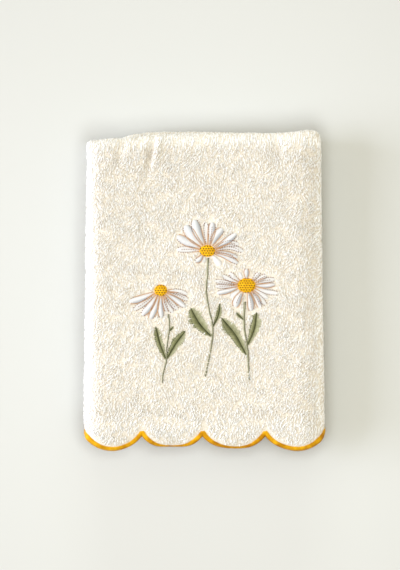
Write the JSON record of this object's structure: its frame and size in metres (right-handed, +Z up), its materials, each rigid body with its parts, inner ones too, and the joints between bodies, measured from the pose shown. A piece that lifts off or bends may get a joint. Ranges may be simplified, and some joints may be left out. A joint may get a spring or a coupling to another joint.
{
  "type": "hand towel",
  "caption": "Folded terry hand towel with a scalloped golden edge and embroidered daisies; a soft flat stack that lies on a shelf or table.",
  "frame": {"origin": "middle of the bounding box, on the underside of the folded towel", "axes": "+Z up, +Y towards the top fold, the scalloped edge towards -Y, +X to the right as seen from above"},
  "size_m": [0.1812, 0.2404, 0.0469],
  "materials": {
    "terry": "cream cotton terry, matt",
    "gold_thread": "golden satin stitching",
    "white_thread": "white satin stitching",
    "yellow_thread": "golden yellow knotted stitching",
    "green_thread": "sage green satin stitching"
  },
  "bodies": {
    "root": {"towel_cloth": "terry", "scallop_border": "gold_thread", "petals_middle": "white_thread", "petals_right": "white_thread", "petals_left": "white_thread", "disc_middle": "yellow_thread", "disc_right": "yellow_thread", "disc_left": "yellow_thread", "stem_middle": "green_thread", "stem_right": "green_thread", "stem_left": "green_thread", "leaf_middle_left": "green_thread", "leaf_middle_right": "green_thread", "leaf_right_left": "green_thread", "leaf_right_right": "green_thread", "leaf_right_bud": "green_thread", "leaf_left_left": "green_thread", "leaf_left_right": "green_thread", "leaf_left_bud": "green_thread"}
  },
  "joints": []
}
